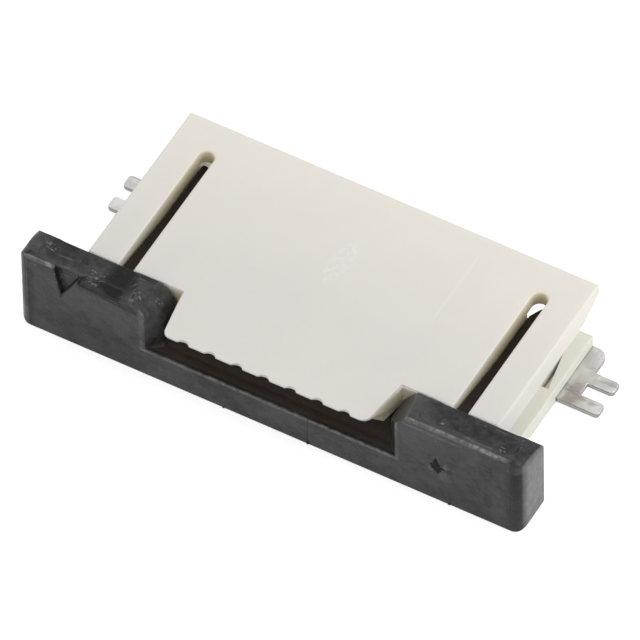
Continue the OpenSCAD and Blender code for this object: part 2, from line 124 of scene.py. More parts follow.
class MouldingSettings(bpy.types.PropertyGroup):
    """Finishes, painted light and painted shade of the two moulded parts."""

    housing_colour: FloatVectorProperty(
        name="Housing colour", description="Ivory of the housing", subtype="COLOR",
        size=3, min=0, max=1, default=(0.735, 0.712, 0.672))
    # Painted light: the lighter, warmer colour laid on the housing's rear.
    housing_lit_rear: FloatVectorProperty(
        name="Housing warm tone", description="Warm tone of the housing's rear and slots",
        subtype="COLOR", size=3, min=0, max=1, default=(0.84, 0.797, 0.735))
    # Painted glow: yellowish light through the thin plastic beside the slots.
    slot_glow_colour: FloatVectorProperty(
        name="Slot colour", description="Yellowish glow of the thin places beside the slots",
        subtype="COLOR", size=3, min=0, max=1, default=(0.78, 0.7, 0.45))
    # Painted shade: brownish shade under the housing's lip, darker at its foot; it also browns the
    # slots' walls.
    lip_root_shade_colour: FloatVectorProperty(
        name="Lip root colour", description="Brownish tone under the housing's lip",
        subtype="COLOR", size=3, min=0, max=1, default=(0.66, 0.58, 0.38))
    foot_colour: FloatVectorProperty(
        name="Foot colour", description="Greenish tone of the housing's thin feet",
        subtype="COLOR", size=3, min=0, max=1, default=(0.775, 0.775, 0.7))
    housing_edge: FloatProperty(
        name="Housing top edge radius", description="Rounding of the housing's top outline",
        subtype="DISTANCE", unit="LENGTH", min=0, default=0.09 * MM)
    slider_colour: FloatVectorProperty(
        name="Slider colour", description="Black of the slider", subtype="COLOR",
        size=3, min=0, max=1, default=(0.007, 0.0068, 0.0068))
    # Painted light: brown light bounced from the ivory lip into the shaded mouth.
    hollow_bounce_colour: FloatVectorProperty(
        name="Hollow colour", description="Brownish tone inside the slider's mouth",
        subtype="COLOR", size=3, min=0, max=1, default=(0.115, 0.095, 0.08))
    # Painted sheen: the lighter grey of the slider's two end faces.
    end_sheen_colour: FloatVectorProperty(
        name="End sheen colour", description="Grey of the slider's two ends", subtype="COLOR",
        size=3, min=0, max=1, default=(0.13, 0.13, 0.132))
    # Rubbed wear and painted highlight on the slider's edges.
    rubbed_and_highlight_colour: FloatVectorProperty(
        name="Rubbed and highlight colour", description="Grey of the slider's rubbed edges", subtype="COLOR",
        size=3, min=0, max=1, default=(0.3, 0.3, 0.31))
    slider_edge: FloatProperty(
        name="Slider edge radius", description="Rounding of the slider's moulded edges",
        subtype="DISTANCE", unit="LENGTH", min=0, default=0.045 * MM)
    edge_segments: IntProperty(
        name="Edge segments", description="Facets across a rounded edge", min=1, max=6,
        default=3)


class MetalSettings(bpy.types.PropertyGroup):
    """Finish of the stamped parts."""

    tin_colour: FloatVectorProperty(
        name="Tin colour", description="Matt tin plating", subtype="COLOR",
        size=3, min=0, max=1, default=(0.7, 0.69, 0.67))
    cut_colour: FloatVectorProperty(
        name="Cut face colour", description="Bare metal of the stamped faces", subtype="COLOR",
        size=3, min=0, max=1, default=(0.2, 0.195, 0.18))
    sheet_edge: FloatProperty(
        name="Sheet edge radius", description="Rounding of the stamped edges",
        subtype="DISTANCE", unit="LENGTH", min=0, default=0.03 * MM)
    edge_segments: IntProperty(
        name="Sheet edge segments", description="Facets across a stamped edge", min=1, max=6,
        default=2)


class StageSettings(bpy.types.PropertyGroup):
    """Camera, floor and lamps."""

    azimuth: FloatProperty(
        name="Azimuth", description="Camera's turn about the vertical", subtype="ANGLE",
        default=math.radians(30.349))
    elevation: FloatProperty(
        name="Elevation", description="Camera's height above the horizon", subtype="ANGLE",
        default=math.radians(50.65))
    roll: FloatProperty(
        name="Roll", description="Camera's turn about its own axis", subtype="ANGLE",
        default=math.radians(-1.219))
    distance: FloatProperty(
        name="Distance", description="Camera's distance from the part", unit="LENGTH",
        default=0.6)
    view_width: FloatProperty(
        name="View width", description="Width seen at the part", unit="LENGTH",
        default=20.816 * MM)
    aim: FloatVectorProperty(
        name="Aim", description="Point in the middle of the view", subtype="TRANSLATION",
        size=3, default=(-0.148 * MM, -1.328 * MM, 1.5 * MM))
    sky: FloatProperty(
        name="Sky strength", description="Light from all round", min=0, default=0.78)
    key: FloatProperty(
        name="Key lamp", description="Power of the large soft lamp", unit="POWER", min=0,
        default=0.075)


# ---- Meshes ----


def merged_copy(node, piece_name, edge_radius, widest):
    """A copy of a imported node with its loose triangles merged, its flat faces joined and its
    sharp edges weighted by edge_radius(edge) over the widest radius."""
    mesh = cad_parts[node].data.copy()
    mesh.name = piece_name
    bm = bmesh.new()
    bm.from_mesh(mesh)
    bmesh.ops.remove_doubles(bm, verts=bm.verts, dist=MERGE_WITHIN)
    bmesh.ops.dissolve_limit(
        bm, angle_limit=FLAT, verts=bm.verts, edges=bm.edges, delimit=set())
    weight = bm.edges.layers.float.new("bevel_weight_edge")
    for edge in bm.edges:
        if len(edge.link_faces) == 2 and edge.calc_face_angle(0) > SHARP:
            edge[weight] = edge_radius(edge) / widest
    for face in bm.faces:
        face.smooth = True
        face.material_index = 0
    bm.to_mesh(mesh)
    bm.free()
    mesh.materials.clear()
    piece = bpy.data.objects.new(piece_name, mesh)
    bpy.context.scene.collection.objects.link(piece)
    return piece


def round_edges(piece, widest, segments):
    """Rounds the weighted edges for good and marks the rounded strips with an attribute."""
    bevel = piece.modifiers.new("rounded_edges", "BEVEL")
    bevel.width = widest
    bevel.segments = segments
    bevel.limit_method = "WEIGHT"
    bevel.use_clamp_overlap = False
    bevel.material = 1
    piece.data.materials.append(None)
    piece.data.materials.append(None)
    ready = piece.evaluated_get(bpy.context.evaluated_depsgraph_get())
    mesh = bpy.data.meshes.new_from_object(ready)
    mesh.name = piece.name
    piece.modifiers.remove(bevel)
    piece.data = mesh
    kinds = np.zeros(len(mesh.polygons), dtype=np.int32)
    corners = np.zeros(len(mesh.polygons), dtype=np.int32)
    mesh.polygons.foreach_get("material_index", kinds)
    mesh.polygons.foreach_get("loop_total", corners)
    strip = mesh.attributes.new("edge_strip", "FLOAT", "CORNER")
    strip.data.foreach_set("value", np.repeat(kinds, corners).astype(np.float32))
    mesh.polygons.foreach_set("material_index", np.zeros(len(mesh.polygons), dtype=np.int32))
    mesh.materials.clear()
    flat = piece.modifiers.new("flat_faces_stay_flat", "WEIGHTED_NORMAL")
    flat.mode = "FACE_AREA"
    flat.keep_sharp = False


def dressed_copy(node, piece_name, body, material, edge_radius, widest, segments):
    """A node's rounded stand-in, riding on its body."""
    piece = merged_copy(node, piece_name, edge_radius, widest)
    round_edges(piece, widest, segments)
    piece.data.materials.append(material)
    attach(piece, body)
    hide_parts(node)
    return piece


def middle(edge):
    return (edge.verts[0].co + edge.verts[1].co) / 2


def housing_edge_radius(edge, widest):
    """Soft on the top's sides and rear, less so on the slots, and sharp on the thin lip."""
    place = middle(edge)
    if place.y < HOUSING_LOW.y + LIP_REACH:
        return 0
    if place.z < HOUSING_HIGH.z - 0.01 * MM:
        return 0.03 * MM
    if abs(place.x) > HOUSING_HIGH.x - 0.1 * MM or place.y > HOUSING_HIGH.y - 0.2 * MM:
        return widest
    return 0.07 * MM


def within(value, ends):
    return ends[0] < value < ends[1]


def slider_edge_radius(edge, widest):
    """Crisp on the bar's thin rim, the low lip and the scoops' round ends, soft elsewhere."""
    place = middle(edge)
    side, depth = abs(place.x), place.y - SLIDER_LOW.y
    crisp = 0.015 * MM
    at_scoop_end = any(within(side, ends) for ends in SCOOP_ENDS)
    if at_scoop_end and within(place.y, SCOOP_Y) and place.z > SCOOP_FLOOR_Z:
        return crisp
    if side < EAR_X and depth < 0.1 * MM and place.z > MM:
        return crisp
    if within(place.x, LOW_LIP_X) and depth < 0.7 * MM and place.z > LOW_LIP_Z:
        return crisp
    return widest


def closed_blob(piece_name, centre, radius_of, half_depths, rings=14, spokes=48):
    """A closed pebble round a centre, lying in the plane of the slider's front.

    A point at the angle a round the middle and b from front to back lies at
    x = centre.x + radius_of(a) * sin(b) * cos(a), z = centre.z + radius_of(a) * sin(b) * sin(a)
    and y = centre.y - depth * cos(b), where depth is half_depths[0] in front and
    half_depths[1] behind. The two ends are single points.
    """
    b = np.linspace(0, math.pi, rings + 2)[1:-1, None]
    a = np.linspace(0, 2 * math.pi, spokes, endpoint=False)[None, :]
    radius = radius_of(a)
    depth = np.where(b < math.pi / 2, half_depths[0], half_depths[1])
    x = centre[0] + radius * np.sin(b) * np.cos(a)
    z = centre[2] + radius * np.sin(b) * np.sin(a)
    y = centre[1] - depth * np.cos(b) * np.ones_like(a)
    grid = np.stack([x, y, z], axis=-1).reshape(-1, 3)
    ends = np.array([
        [centre[0], centre[1] - half_depths[0], centre[2]],
        [centre[0], centre[1] + half_depths[1], centre[2]]])
    points = np.vstack([grid, ends])
    ring = np.arange(rings - 1)[:, None] * spokes
    here = np.arange(spokes)[None, :]
    there = (here + 1) % spokes
    quads = np.stack(
        [ring + here, ring + there, ring + spokes + there, ring + spokes + here], axis=-1)
    first, last = rings * spokes, rings * spokes + 1
    front_fan = np.stack([np.full(spokes, first), there[0], here[0]], axis=-1)
    back_ring = (rings - 1) * spokes
    back_fan = np.stack(
        [np.full(spokes, last), back_ring + here[0], back_ring + there[0]], axis=-1)
    faces = quads.reshape(-1, 4).tolist() + front_fan.tolist() + back_fan.tolist()
    mesh = bpy.data.meshes.new(piece_name)
    mesh.from_pydata(points.tolist(), [], faces)
    bm = bmesh.new()
    bm.from_mesh(mesh)
    bmesh.ops.recalc_face_normals(bm, faces=bm.faces)
    bm.to_mesh(mesh)
    bm.free()
    piece = bpy.data.objects.new(piece_name, mesh)
    bpy.context.scene.collection.objects.link(piece)
    return piece


def torn_radius(angle):
    """Distance from the torn gate's middle to its edge.

    A round core with a Gaussian tear at each angle of TEARS and a ragged outline:
    radius = (core + sum of reach * exp(-(off / width)^2))
             * (1 + 0.07 sin(9 angle + 1) + 0.06 sin(16 angle))
    """
    radius = GATE_CORE + np.zeros_like(angle)
    for at, reach, width in TEARS:
        off = np.angle(np.exp(1j * (angle - math.radians(at))))
        radius = radius + reach * np.exp(-(off / width) ** 2)
    ragged = 1 + 0.07 * np.sin(9 * angle + 1) + 0.06 * np.sin(16 * angle)
    return radius * ragged * MM


def nub_radius(angle):
    """Distance from a nub's middle to its edge: half as wide again along the slider."""
    return NUB_RADIUS * (1 + 0.5 * np.cos(angle) ** 2)


# ---- Shader helpers ----


class Shader:
    """Small helper that adds nodes to a tree and links them."""

    def __init__(self, tree):
        self.tree = tree

    def add(self, kind, values=None, **settings):
        """A new node with its settings and its named inputs filled in."""
        node = self.tree.nodes.new(kind)
        for name, value in settings.items():
            setattr(node, name, value)
        for name, value in (values or {}).items():
            self.put(node.inputs[name], value)
        return node

    def put(self, socket, value):
        """Feeds an input socket from another socket or with a constant."""
        if isinstance(value, bpy.types.NodeSocket):
            self.tree.links.new(value, socket)
        elif isinstance(value, tuple) and len(value) == 3 and socket.type == "RGBA":
            socket.default_value = (*value, 1)
        else:
            socket.default_value = value

    def maths(self, operation, *values):
        node = self.add("ShaderNodeMath", operation=operation)
        for socket, value in zip(node.inputs, values):
            self.put(socket, value)
        return node.outputs[0]

    def chain(self, operation, values):
        """An operation over any number of values, from the first to the last."""
        return functools.reduce(functools.partial(self.maths, operation), values)

    def times(self, *factors):
        return self.chain("MULTIPLY", factors)

    def plus(self, *terms):
        return self.chain("ADD", terms)

    def minus(self, first, second):
        return self.maths("SUBTRACT", first, second)

    def strongest(self, *values):
        return self.chain("MAXIMUM", values)

    def off(self, value, middle):
        """How far a value lies from a middle, to either side."""
        return self.maths("ABSOLUTE", self.minus(value, middle))

    def squares(self, first, second):
        """The sum of two squares."""
        return self.plus(self.times(first, first), self.times(second, second))

    def axes(self, place):
        """The three coordinates of a place, called by their letters."""
        return self.add("ShaderNodeSeparateXYZ", {"Vector": place}).outputs

    def stretched(self, place, scale):
        """A place with its axes scaled, so that a pattern on it is drawn out."""
        return self.add("ShaderNodeMapping", {"Vector": place, "Scale": scale}).outputs[0]

    def ramp(self, value, low, high):
        """0 at low, 1 at high, smooth between and level beyond."""
        node = self.add(
            "ShaderNodeMapRange", {"Value": value, "From Min": low, "From Max": high},
            interpolation_type="SMOOTHSTEP")
        return node.outputs["Result"]

    def ramp_mm(self, value, low, high):
        """A ramp over a length, whose ends are in millimetres."""
        return self.ramp(value, low * MM, high * MM)

    def band(self, value, low, high, soft):
        """1 between low and high, with soft shoulders outside, all in millimetres."""
        return self.times(
            self.ramp_mm(value, low - soft, low), self.ramp_mm(value, high + soft, high))

    def spot(self, first, second, x, y, reach):
        """1 where two coordinates meet x and y, 0 further than reach away, in millimetres."""
        across = self.maths("DIVIDE", self.minus(first, x * MM), reach * MM)
        along = self.maths("DIVIDE", self.minus(second, y * MM), reach * MM)
        return self.ramp(self.squares(across, along), 1.0, 0.1)

    def noise(self, place, scale, detail=3.0, roughness=0.5, distortion=0.0):
        node = self.add(
            "ShaderNodeTexNoise",
            {"Vector": place, "Scale": scale, "Detail": detail, "Roughness": roughness,
             "Distortion": distortion})
        return node.outputs["Fac"]

    def mix(self, factor, first, second):
        node = self.add("ShaderNodeMix", data_type="RGBA")
        self.put(node.inputs["Factor"], factor)
        self.put(node.inputs[6], first)
        self.put(node.inputs[7], second)
        return node.outputs[2]

    def coats(self, colour, *coats):
        """Lays coats, each a mask and a colour, one over the other."""
        for mask, tone in coats:
            colour = self.mix(mask, colour, tone)
        return colour

    def bump(self, height, strength, distance):
        """The normal of a rough surface, with its distance in millimetres."""
        node = self.add(
            "ShaderNodeBump",
            {"Height": height, "Strength": strength, "Distance": distance * MM})
        return node.outputs["Normal"]

    def group(self, tree, values):
        node = self.add("ShaderNodeGroup")
        node.node_tree = tree
        for name, value in values.items():
            self.put(node.inputs[name], value)
        return node.outputs


def new_group(name, inputs, outputs):
    """An empty shader group with named inputs (name, kind, default) and outputs (name, kind)."""
    tree = bpy.data.node_groups.new(name, "ShaderNodeTree")
    for label, kind, default in inputs:
        socket = tree.interface.new_socket(label, in_out="INPUT", socket_type=kind)
        if default is not None:
            socket.default_value = default
    for label, kind in outputs:
        tree.interface.new_socket(label, in_out="OUTPUT", socket_type=kind)
    shader = Shader(tree)
    entry = shader.add("NodeGroupInput")
    result = shader.add("NodeGroupOutput")
    return tree, shader, entry.outputs, result.inputs


def grain_group():
    """Fine grain and larger flow marks, shared by the mouldings and the tin."""
    name = "mould_grain"
    if name in bpy.data.node_groups:
        return bpy.data.node_groups[name]
    tree, shader, entry, result = new_group(
        name,
        [("Place", "NodeSocketVector", None), ("Grain Scale", "NodeSocketFloat", 12000.0),
         ("Flow Scale", "NodeSocketFloat", 500.0)],
        [("Grain", "NodeSocketFloat"), ("Flow", "NodeSocketFloat")])
    fine = shader.noise(entry["Place"], entry["Grain Scale"], 4.0, 0.6)
    broad = shader.noise(entry["Place"], entry["Flow Scale"], 4.0, 0.55, 0.6)
    shader.put(result["Grain"], fine)
    shader.put(result["Flow"], shader.ramp(broad, 0.35, 0.65))
    return tree


def grain_of(shader, place, grain_scale, flow_scale):
    """The grain group placed in a material with its own scales."""
    return shader.group(
        grain_group(), {"Place": place, "Grain Scale": grain_scale, "Flow Scale": flow_scale})


def new_material(name):
    """An emptied material and its helper, with the Principled shader already in place."""
    material = bpy.data.materials.new(name)
    material.use_nodes = True
    material.node_tree.nodes.clear()
    shader = Shader(material.node_tree)
    surface = shader.add("ShaderNodeBsdfPrincipled")
    output = shader.add("ShaderNodeOutputMaterial")
    material.node_tree.links.new(surface.outputs[0], output.inputs["Surface"])
    place = shader.add("ShaderNodeTexCoord").outputs["Object"]
    return material, shader, surface.inputs, place


# ---- The housing's finish ----


def housing_material(settings):
    """Ivory moulding: painted light makes it lighter and warmer towards the rear, a painted glow
    yellows the top beside the slots, painted shade browns the slots' walls, the face under the lip
    and the legs' pockets, and it has a scuffed place.
    """
    material, shader, surface, place = new_material("ivory_moulding")
    axes = shader.axes(place)
    grain = grain_of(shader, place, 9000.0, 350.0)
    scuff = scuffed_place(shader, place, axes)
    slot_glow, slot_wall_shade = slot_masks(shader, axes)
    # Painted shade under the lip, darker towards its foot.
    root = tuple(settings.lip_root_shade_colour)
    root_shade_tone = shader.mix(
        shader.ramp_mm(axes["Z"], 2.0, 1.5), root, tuple(c * ROOT_SHADE_SHARE for c in root))
    # Painted light: lighter and warmer towards the rear, where the light from behind falls, plus a
    # share of the real flow marks.
    warm = shader.plus(
        shader.times(shader.ramp_mm(axes["Y"], -3.0, 3.6), 0.8), shader.times(grain["Flow"], 0.12))
    shader.put(surface["Base Color"], shader.coats(
        tuple(settings.housing_colour),
        (warm, tuple(settings.housing_lit_rear)),
        # Painted glow beside the slots.
        (shader.times(slot_glow, 0.4), tuple(settings.slot_glow_colour)),
        # Painted shade: the slots' walls browner below their top.
        (shader.times(slot_wall_shade, 0.75), root),
        (shader.times(foot_mask(shader, axes), 0.9), tuple(settings.foot_colour)),
        (shader.times(lip_root_shade_mask(shader, axes), 0.8), root_shade_tone),
        (shader.times(pocket_shade_mask(shader, axes), 0.5), POCKET_SHADE_TONE),
        (shader.times(scuff, 0.6), SCUFF_TONE),
        (shader.times(hair_line(shader, axes), 0.3), HAIR_TONE)))
    shader.put(surface["Roughness"], shader.plus(
        0.42, shader.times(grain["Grain"], 0.16), shader.times(scuff, 0.2)))
    surface["Subsurface Weight"].default_value = 0.25
    surface["Subsurface Radius"].default_value = (0.5 * MM, 0.35 * MM, 0.2 * MM)
    surface["Subsurface Scale"].default_value = 1.0
    height = shader.plus(grain["Grain"], shader.times(scuff, 1.5))
    shader.put(surface["Normal"], shader.bump(height, 0.5, 0.004))
    return material


def slot_masks(shader, axes):
    """Painted glow on the top beside the slots, and painted shade on the slots' own walls, browner
    below their top.
    """
    beside = shader.off(shader.off(axes["X"], 0.0), SLOT_X)
    past_end = shader.strongest(shader.minus(axes["Y"], SLOT_END_Y), 0.0)
    from_slot = shader.maths("SQRT", shader.squares(beside, past_end))
    glow = shader.times(
        shader.ramp_mm(from_slot, 0.44, 0.26), shader.ramp_mm(axes["Y"], -1.5, 2.3))
    # Painted shade on the slots' walls, growing below their top.
    wall_shade = shader.times(
        shader.ramp_mm(from_slot, 0.32, 0.28), shader.ramp_mm(axes["Z"], 2.86, 2.4))
    return glow, wall_shade


def foot_mask(shader, axes):
    """The thin feet along the two outer legs."""
    return shader.times(
        shader.ramp_mm(shader.off(axes["X"], 0.0), 6.4, 6.55),
        shader.ramp_mm(axes["Z"], 1.1, 0.95))


def lip_root_shade_mask(shader, axes):
    """Painted shade on the front face under the lip."""
    depth = shader.minus(axes["Y"], FRONT_FACE_Y)
    return shader.times(shader.ramp_mm(depth, 0.1, 0.01), shader.ramp_mm(axes["Z"], 2.8, 2.6))


def pocket_shade_mask(shader, axes):
    """Painted shade in the low inside of the legs' wedge-shaped pockets."""
    return shader.times(
        shader.band(shader.off(axes["X"], 0.0), 6.45, 7.08, 0.04),
        shader.ramp_mm(axes["Z"], 0.88, 0.7), shader.band(axes["Y"], -1.2, 2.6, 0.2))


def scuffed_place(shader, place, axes):
    """Fine flecks inside an ellipse on the housing's top, 0.8 mm wide and 2.4 mm long."""
    across = shader.maths("DIVIDE", shader.plus(axes["X"], 0.2 * MM), 0.42 * MM)
    along = shader.maths("DIVIDE", shader.minus(axes["Y"], 0.15 * MM), 1.2 * MM)
    lean = shader.minus(across, shader.times(along, 0.1))
    inside = shader.ramp(shader.squares(lean, along), 1.0, 0.35)
    return shader.times(inside, shader.ramp(shader.noise(place, 6000.0, 6.0, 0.8), 0.44, 0.6))


def hair_line(shader, axes):
    """A faint, nearly straight flow line on the top, 0.1 mm wide, near the right slot."""
    line_x = shader.plus(3.61 * MM, shader.times(axes["Y"], 0.01))
    return shader.times(
        shader.ramp_mm(shader.off(axes["X"], line_x), 0.06, 0.02),
        shader.ramp_mm(axes["Y"], -0.7, -0.3), shader.ramp_mm(axes["Y"], 2.8, 2.3))


# ---- The slider's finish ----


def slider_material(settings):
    """Black moulding: mottled gloss, painted sheen on the ends, painted bounce light in the
    hollow, painted shade on the arms and in deep places, rubbed edges with painted highlights,
    painted light on the right ear's front, and flecks.
    """
    material, shader, surface, place = new_material("black_moulding")
    axes = shader.axes(place)
    grain = grain_of(shader, place, 11000.0, 900.0)
    mottle = shader.ramp(shader.noise(place, 3300.0, 4.0, 0.65), 0.34, 0.68)
    cloud = shader.ramp(shader.noise(place, 620.0, 4.0, 0.6), 0.36, 0.64)
    # Painted shade: the parts behind the housing's front face, such as the arms in the slots, are
    # darker and browner; they are also rougher.
    arms = shader.ramp_mm(shader.minus(axes["Y"], FRONT_FACE_Y), -0.05, 0.1)
    # Rubbed wear and painted highlight on the edges and front rims.
    rubbed = rubbed_and_lit_edges(shader, place, axes)
    line = witness_line(shader, axes)
    black = tuple(settings.slider_colour)
    shader.put(surface["Base Color"], shader.coats(
        black,
        (shader.plus(shader.times(mottle, 0.5), shader.times(cloud, 0.5)),
         tuple(c + MOTTLE_LIFT for c in black)),
        (shaded_places(shader, axes), SHADED_TONE),
        # Painted bounce light in the mouth.
        (shader.times(hollow_bounce_mask(shader, axes), 0.9), tuple(settings.hollow_bounce_colour)),
        (arms, ARM_SHADE_TONE),
        # Painted sheen on the end faces, mottled by the cloud.
        (shader.times(end_sheen_mask(shader, axes), shader.plus(0.7, shader.times(cloud, 0.3))),
         tuple(settings.end_sheen_colour)),
        (rubbed, tuple(settings.rubbed_and_highlight_colour)),
        (shader.times(abrasion_flecks(shader, place, axes), 0.6), FLECK_TONE),
        # Painted light on the right ear's front.
        (shader.times(lit_ear_front(shader, axes), 0.3), EAR_LIGHT_TONE),
        (shader.times(gate_spots(shader, axes, GATE_SMEARS), shader.plus(0.5, mottle)),
         SMEAR_TONE),
        (gate_spots(shader, axes, GATE_SMUTS), SMUT_TONE),
        (shader.times(line, 0.6), LINE_TONE)))
    shader.put(surface["Roughness"], shader.plus(
        0.3, shader.times(mottle, 0.16), shader.times(rubbed, 0.25), shader.times(arms, 0.3)))
    surface["Specular IOR Level"].default_value = 0.22
    height = shader.plus(grain["Grain"], shader.times(mottle, 1.6), shader.times(line, -2.0))
    shader.put(surface["Normal"], shader.bump(height, 0.7, 0.006))
    return material


def front_depth(shader, axes):
    """How far a place lies behind the slider's front."""
    return shader.minus(axes["Y"], SLIDER_LOW.y)


def front_skin(shader, axes):
    """The slider's front faces only."""
    return shader.ramp_mm(front_depth(shader, axes), 0.08, 0.03)


def hollow_bounce_mask(shader, axes):
    """Painted bounce light on the shaded ramp between the ears, behind the bar's rim."""
    return shader.times(
        shader.ramp_mm(front_depth(shader, axes), 0.05, 0.3),
        shader.ramp_mm(axes["Z"], 1.35, 1.2),
        shader.ramp_mm(shader.off(axes["X"], 0.0), 4.75, 4.6))


def end_sheen_mask(shader, axes):
    """Painted sheen on the two end faces."""
    from_end = shader.minus(SLIDER_HIGH.x, shader.off(axes["X"], 0.0))
    return shader.ramp_mm(from_end, 0.12, 0.02)


def lit_ear_front(shader, axes):
    """Painted light on the right ear's front, strongest at its inner top."""
    return shader.times(
        shader.ramp_mm(axes["X"], 7.8, 5.2), shader.ramp_mm(axes["Z"], 1.2, 2.8),
        shader.ramp_mm(axes["X"], 4.7, 5.0), front_skin(shader, axes))


def shaded_places(shader, axes):
    """Deep black places: the groove under the low lip, the triangle's left and the corners."""
    across, up = axes["X"], axes["Z"]
    groove_z = shader.plus(3.13 * MM, shader.times(shader.plus(across, 7.1 * MM), -0.12))
    groove = shader.times(
        shader.ramp_mm(shader.minus(up, groove_z), -0.07, -0.02),
        shader.ramp_mm(up, 3.2, 3.12), shader.band(across, -7.0, -4.95, 0.12))
    triangle = shader.times(
        0.9, shader.band(axes["Y"], -4.985, -4.6, 0.008),
        shader.ramp_mm(front_depth(shader, axes), 0.35, 0.3),
        shader.band(across, -9.0, -7.95, 0.25), shader.band(up, 2.0, 3.48, 0.02))
    corner = shader.times(
        0.9, shader.band(axes["Y"], -5.1, -4.66, 0.03),
        shader.ramp_mm(shader.off(across, 0.0), 8.62, 9.0), shader.ramp_mm(up, 2.98, 2.9))
    return shader.strongest(groove, triangle, corner)


def rubbed_and_lit_edges(shader, place, axes):
    """Rubbed wear and painted highlights: a faint painted highlight on the rounded edges, bright
    rubbed and highlighted rims at the front of the ears and bar.
    """
    strip = shader.add(
        "ShaderNodeAttribute", attribute_type="GEOMETRY", attribute_name="edge_strip")
    patches = shader.ramp(shader.noise(place, 1500.0, 3.0, 0.6), 0.36, 0.62)
    fine = shader.ramp(shader.noise(place, 5200.0, 3.0, 0.6), 0.4, 0.58)
    depth = front_depth(shader, axes)
    side = shader.off(axes["X"], 0.0)
    from_end = shader.minus(SLIDER_HIGH.x, side)
    # The rims are partly rubbed wear and partly painted highlight.
    ear_rim = shader.times(
        shader.ramp_mm(depth, 0.15, 0.09), shader.ramp_mm(axes["Z"], 3.4, 3.46),
        shader.ramp_mm(axes["X"], 9.0, 8.7))
    end_rim = shader.times(
        0.3, shader.ramp_mm(from_end, 0.1, 0.06), shader.ramp_mm(axes["Z"], 2.98, 3.02))
    bar_rim = shader.times(
        0.6, shader.ramp_mm(depth, 0.09, 0.06), shader.ramp_mm(axes["Z"], 1.14, 1.2),
        shader.ramp_mm(side, 4.9, 4.7))
    long_scratch = shader.times(
        0.45, shader.band(axes["Z"], 3.2, 3.24, 0.03), shader.band(axes["X"], 5.1, 6.9, 0.3),
        front_skin(shader, axes))
    patchy_wear_and_light = shader.plus(
        0.25, shader.times(fine, shader.plus(0.1, shader.times(patches, 0.45))))
    rims = shader.times(shader.plus(ear_rim, end_rim, long_scratch, bar_rim), patchy_wear_and_light)
    # Painted highlight along the rounded edge strips.
    strips = shader.times(strip.outputs["Fac"], patches, 0.07)
    return shader.maths("MINIMUM", shader.plus(rims, strips), 1.0)


def abrasion_flecks(shader, place, axes):
    """Bright flecks and scratches, thin over the ears' tops and gathered in a few spots."""
    gather = shader.strongest(
        shader.times(0.3, shader.noise(place, 1100.0, 2.0, 0.5)),
        *(shader.spot(axes["X"], axes["Y"], *spot) for spot in FLECKED_SPOTS))
    streaky = shader.noise(
        shader.stretched(place, (1.0, 1.7, 1.0)), 8200.0, 3.0, 0.6, 0.6)
    flecks = shader.ramp(shader.plus(streaky, shader.times(gather, 0.17)), 0.69, 0.8)
    scratches = shader.times(fine_scratches(shader, place), 0.35)
    return shader.times(
        shader.strongest(scratches, flecks), shader.ramp_mm(axes["Z"], 2.5, 2.7))


def fine_scratches(shader, place):
    """Thin broken scratches that run along the slider."""
    lines = shader.noise(shader.stretched(place, (0.05, 1.0, 1.0)), 9000.0, 2.0, 0.5)
    breaks = shader.noise(place, 1600.0, 2.0, 0.5)
    return shader.times(shader.ramp(lines, 0.6, 0.68), shader.ramp(breaks, 0.45, 0.6))


def gate_spots(shader, axes, spots):
    """Soft spots on the slider's front, each as strong as its last number says."""
    marks = [shader.times(shader.spot(axes["X"], axes["Z"], x, z, reach), strength)
             for x, z, reach, strength in spots]
    return shader.times(shader.strongest(*marks), front_skin(shader, axes))


def witness_line(shader, axes):
    """A thin upright mould line on the bar's front, right of its middle."""
    return shader.times(
        shader.ramp_mm(shader.off(axes["X"], WITNESS_X), 0.05, 0.01), front_skin(shader, axes))


def torn_gate_material():
    """Torn dark plastic where the slider left its runner, with light flecks on its right."""
    material, shader, surface, place = new_material("torn_gate")
    more = shader.times(shader.ramp_mm(shader.axes(place)["X"], 6.28, 6.42), 0.1)
    torn = shader.noise(place, 8500.0, 3.0, 0.6)
    flecks = shader.ramp(shader.plus(torn, more), 0.58, 0.66)
    shader.put(surface["Base Color"], shader.mix(flecks, SMUT_TONE, TORN_FLECK_TONE))
    shader.put(surface["Roughness"], shader.plus(0.75, shader.times(flecks, 0.1)))
    surface["Specular IOR Level"].default_value = 0.2
    shader.put(surface["Normal"], shader.bump(flecks, 0.6, 0.01))
    return material


# ---- The metal's finish ----


def tin_material(settings, name, sheet_axis):
    """Matt tin over stamped sheet; the cut faces, away from sheet_axis, are darker."""
    ready = bpy.data.materials.get(name)
    if ready is not None:
        return ready
    material, shader, surface, place = new_material(name)
    grain = grain_of(shader, place, 16000.0, 1500.0)
    normal = shader.add("ShaderNodeNewGeometry").outputs["Normal"]
    cut = shader.ramp(shader.off(shader.axes(normal)[sheet_axis], 0.0), 0.9, 0.4)
    streaks = shader.noise(shader.stretched(place, (0.4, 1.5, 1.0)), 2600.0, 3.0, 0.6)
    tin = tuple(settings.tin_colour)
    shader.put(surface["Base Color"], shader.coats(
        tin,
        (shader.times(grain["Flow"], 0.7), tuple(c * DULL_TIN for c in tin)),
        (shader.times(cut, shader.plus(0.6, shader.times(grain["Grain"], 0.4))),
         tuple(settings.cut_colour)),
        (shader.times(shader.ramp(streaks, 0.54, 0.66), 0.5), STREAK_TONE)))
    surface["Metallic"].default_value = 1.0
    shader.put(surface["Roughness"], shader.plus(0.12, shader.times(grain["Grain"], 0.22)))
    shader.put(surface["Normal"], shader.bump(grain["Grain"], 0.4, 0.003))
    return material


# ---- Operators ----


